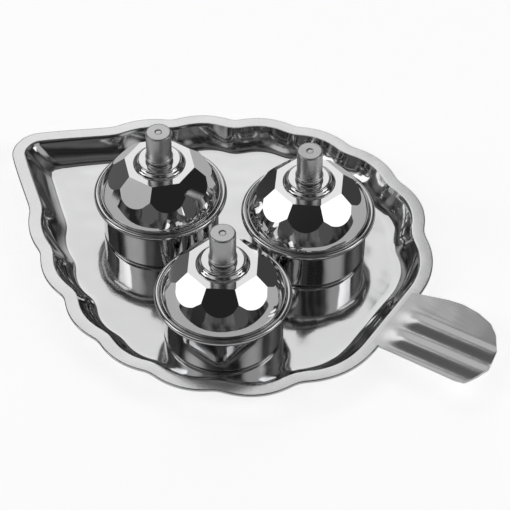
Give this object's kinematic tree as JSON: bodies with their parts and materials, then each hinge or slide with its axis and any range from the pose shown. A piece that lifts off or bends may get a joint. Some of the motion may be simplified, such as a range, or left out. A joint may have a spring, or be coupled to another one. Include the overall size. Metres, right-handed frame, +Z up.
{
  "type": "kumkum holder",
  "caption": "Leaf shaped metal tray with a ribbed stalk handle, holding loose round cups with faceted lids and turned knobs.",
  "frame": {"origin": "centre of the object's footprint on the surface that the tray stands on", "axes": "+X from the leaf's tip to its stalk, +Y across the leaf, +Z up"},
  "size_m": [0.2276, 0.1532, 0.0547],
  "materials": {
    "tray": "mirror polished stainless steel sheet",
    "cup": "mirror polished stainless steel",
    "lid": "mirror polished faceted stainless steel",
    "knob": "turned steel with fine lathe rings",
    "washer": "plain steel",
    "knob_screw": "plain steel"
  },
  "bodies": {
    "tray": {"leaf_tray": "tray"},
    "cup_tip": {"cup_tip": "cup"},
    "lid_tip": {"lid_tip": "lid", "knob_tip": "knob", "washer_tip": "washer", "knob_screw_tip": "knob_screw"},
    "cup_rear": {"cup_rear": "cup"},
    "lid_rear": {"lid_rear": "lid", "knob_rear": "knob", "washer_rear": "washer", "knob_screw_rear": "knob_screw"},
    "cup_front": {"cup_front": "cup"},
    "lid_front": {"lid_front": "lid", "knob_front": "knob", "washer_front": "washer", "knob_screw_front": "knob_screw"}
  },
  "joints": [
    {"name": "cup_tip_lift", "type": "slide", "parent": "tray", "child": "cup_tip", "axis": [0, 0, 1], "range_m": [0, 0.06]},
    {"name": "lid_tip_lift", "type": "slide", "parent": "cup_tip", "child": "lid_tip", "axis": [0, 0, 1], "range_m": [0, 0.04]},
    {"name": "cup_rear_lift", "type": "slide", "parent": "tray", "child": "cup_rear", "axis": [0, 0, 1], "range_m": [0, 0.06]},
    {"name": "lid_rear_lift", "type": "slide", "parent": "cup_rear", "child": "lid_rear", "axis": [0, 0, 1], "range_m": [0, 0.04]},
    {"name": "cup_front_lift", "type": "slide", "parent": "tray", "child": "cup_front", "axis": [0, 0, 1], "range_m": [0, 0.06]},
    {"name": "lid_front_lift", "type": "slide", "parent": "cup_front", "child": "lid_front", "axis": [0, 0, 1], "range_m": [0, 0.04]}
  ]
}
